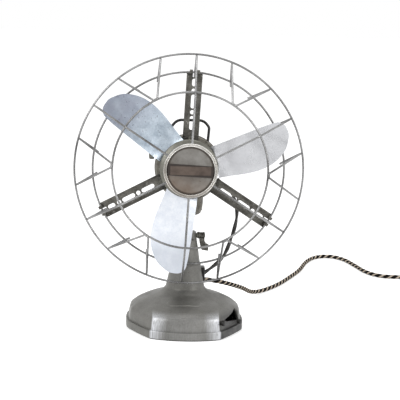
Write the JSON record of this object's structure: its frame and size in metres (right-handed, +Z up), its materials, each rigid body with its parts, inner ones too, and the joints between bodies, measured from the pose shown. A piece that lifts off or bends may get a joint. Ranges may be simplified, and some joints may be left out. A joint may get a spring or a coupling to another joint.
{
  "type": "desk fan",
  "caption": "Mains-electric desk fan with a cast bell base, tilting and oscillating head, open wire guard, leaf blades and a cloth-covered cord",
  "frame": {"origin": "centre of the base's underside, on the column's axis", "axes": "+Z up, the fan faces -Y, +X on the right of someone who stands in front of it"},
  "size_m": [0.6467, 0.6144, 0.4036],
  "materials": {
    "cast_aluminium": "satin",
    "head_metal": "satin",
    "strut_bronze": "satin",
    "guard_wire": "dulled plating",
    "dull_steel": "dulled",
    "bright_trim": "polished",
    "badge_face": "satin",
    "badge_band": "satin",
    "blade_aluminium": "mottled satin",
    "black_moulding": "moulded",
    "black_wire": "gloss",
    "black_rubber": "matt",
    "braided_cord": "braided",
    "felt": "felt",
    "brass": "satin",
    "laminations": "stacked sheet",
    "copper": "enamelled wire",
    "resistor_ceramic": "matt",
    "fibre": "matt"
  },
  "bodies": {
    "base": {"base_casting": "cast_aluminium", "base_bottom_plate": "dull_steel", "base_felt_pad": "felt", "base_plate_screws": "dull_steel", "speed_resistor": "resistor_ceramic", "switch_contact_block": "black_moulding", "cord_gland": "black_moulding", "neck_fork": "cast_aluminium", "mains_cord": "braided_cord", "cord_coil": "braided_cord", "plug_body": "black_moulding", "plug_pins": "brass"},
    "speed_lever": {"speed_lever": "dull_steel", "lever_wiper": "brass"},
    "swivel_carrier": {"tilt_knuckle": "dull_steel", "swivel_post": "dull_steel", "link_anchor_pin": "dull_steel"},
    "lock_lever": {"tilt_bolt": "dull_steel", "lock_lever": "dull_steel"},
    "motor_head": {"motor_front_housing": "head_metal", "motor_rear_housing": "head_metal", "stator_core": "laminations", "stator_windings": "copper", "front_bearing_bush": "brass", "rear_bearing_bush": "brass", "motor_tie_bolts": "dull_steel", "gearbox_housing": "head_metal", "gearbox_cover": "head_metal", "cover_screws": "dull_steel", "carry_handle": "black_wire", "oil_cup": "dull_steel", "strut_top": "strut_bronze", "strut_lower_left": "strut_bronze", "strut_lower_right": "strut_bronze", "strut_screws": "dull_steel", "guard_back_ring": "guard_wire", "guard_outer_ring": "guard_wire", "guard_front_ring": "guard_wire", "guard_long_wires": "guard_wire", "guard_v_wires": "guard_wire", "cap_cup": "dull_steel", "cap_bezel": "bright_trim", "badge_disc": "badge_face", "badge_band": "badge_band", "cable_grommet": "black_rubber", "motor_cable": "black_rubber"},
    "rotor": {"rotor_shaft": "dull_steel", "rotor_core": "laminations", "worm": "dull_steel", "hub_core": "blade_aluminium", "hub_cover": "blade_aluminium", "blade_1": "blade_aluminium", "blade_2": "blade_aluminium", "blade_3": "blade_aluminium", "blade_rivets": "blade_aluminium", "hub_nut": "blade_aluminium"},
    "worm_wheel": {"worm_wheel": "fibre"},
    "crank": {"crank_disc": "dull_steel"},
    "link": {"link_arm": "dull_steel"},
    "clutch_knob": {"clutch_knob": "black_moulding"}
  },
  "joints": [
    {"name": "speed_lever_turn", "type": "hinge", "parent": "base", "child": "speed_lever", "pos_m": [0.05088, -0.0762, 0.024], "axis": [0.8654, -0.501, 0], "range_deg": [0, 16]},
    {"name": "head_tilt", "type": "hinge", "parent": "base", "child": "swivel_carrier", "pos_m": [0, 0, 0.136], "axis": [1, 0, 0], "range_deg": [-30, 5]},
    {"name": "lock_lever_turn", "type": "hinge", "parent": "base", "child": "lock_lever", "pos_m": [0, 0, 0.136], "axis": [1, 0, 0], "range_deg": [-60, 60]},
    {"name": "oscillation", "type": "hinge", "parent": "swivel_carrier", "child": "motor_head", "pos_m": [0, 0.00354, 0.1668], "axis": [0, 0.1141, 0.9935], "range_deg": [-35, 35], "deforming": ["motor_cable"]},
    {"name": "rotor_spin", "type": "hinge", "parent": "motor_head", "child": "rotor", "pos_m": [0, 0.01125, 0.23401], "axis": [0, -0.9935, 0.1141], "continuous": true},
    {"name": "worm_wheel_spin", "type": "hinge", "parent": "motor_head", "child": "worm_wheel", "pos_m": [-0.015, 0.08676, 0.22534], "axis": [0, 0.1141, 0.9935], "continuous": true},
    {"name": "crank_turn", "type": "hinge", "parent": "motor_head", "child": "crank", "pos_m": [-0.015, 0.07849, 0.15331], "axis": [0, 0.1141, 0.9935], "range_deg": [-90, 90]},
    {"name": "link_turn", "type": "hinge", "parent": "swivel_carrier", "child": "link", "pos_m": [-0.013, 0.00268, 0.15935], "axis": [0, 0.1141, 0.9935], "range_deg": [-35, 35]},
    {"name": "clutch_knob_pull", "type": "slide", "parent": "motor_head", "child": "clutch_knob", "axis": [0, 0.1141, 0.9935], "range_m": [0, 0.006]}
  ],
  "couplings": [
    {"joint": "worm_wheel_spin", "follows": "rotor_spin", "ratio": 0.033333},
    {"joint": "crank_turn", "follows": "oscillation", "ratio": -2.5714},
    {"joint": "link_turn", "follows": "oscillation", "ratio": 1}
  ]
}
